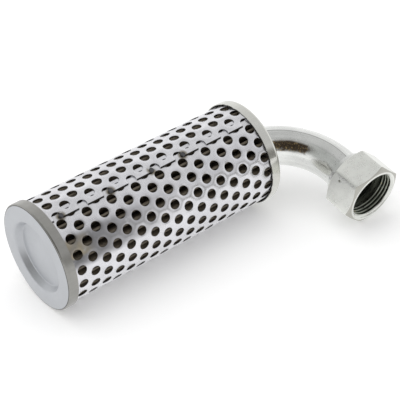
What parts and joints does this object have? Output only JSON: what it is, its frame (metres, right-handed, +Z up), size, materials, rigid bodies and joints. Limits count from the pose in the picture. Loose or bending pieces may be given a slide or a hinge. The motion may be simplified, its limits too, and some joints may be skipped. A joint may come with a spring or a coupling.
{
  "type": "hydraulic suction filter",
  "caption": "Hydraulic suction filter: pleated mesh inside a perforated steel guard, pressed end caps, and a bent port tube with a swivel nut.",
  "frame": {"origin": "middle of the box round the filter, on the surface it lies on", "axes": "+X along the filter from the blind end to the port end, +Z up"},
  "size_m": [0.174, 0.0908, 0.0545],
  "materials": {
    "guard_sheet": "satin, bare rolled sheet",
    "blind_cap_metal": "matt, pressed",
    "zinc_plate": "satin, zinc plated",
    "zinc_tube": "bright, zinc plated",
    "zinc_nut": "satin, zinc plated",
    "wire_mesh": "dull, fine woven wire",
    "core_metal": "dull",
    "potting_resin": "matt, cast resin",
    "weld": "dark, scaled"
  },
  "bodies": {
    "filter": {"perforated_guard": "guard_sheet", "guard_tack_welds": "weld", "blind_end_cap": "blind_cap_metal", "open_end_cap": "zinc_plate", "pleated_mesh": "wire_mesh", "core_tube": "core_metal", "blind_end_potting": "potting_resin", "open_end_potting": "potting_resin", "elbow_tube": "zinc_tube", "elbow_weld_bead": "weld", "cone_nipple": "zinc_tube", "nipple_braze": "weld", "nut_retaining_wire": "wire_mesh"},
    "nut": {"swivel_nut": "zinc_nut"}
  },
  "joints": [
    {"name": "nut_swivel", "type": "hinge", "parent": "filter", "child": "nut", "pos_m": [0.07038, -0.03126, 0.01836], "axis": [0, -0.9842, -0.177], "continuous": true}
  ]
}
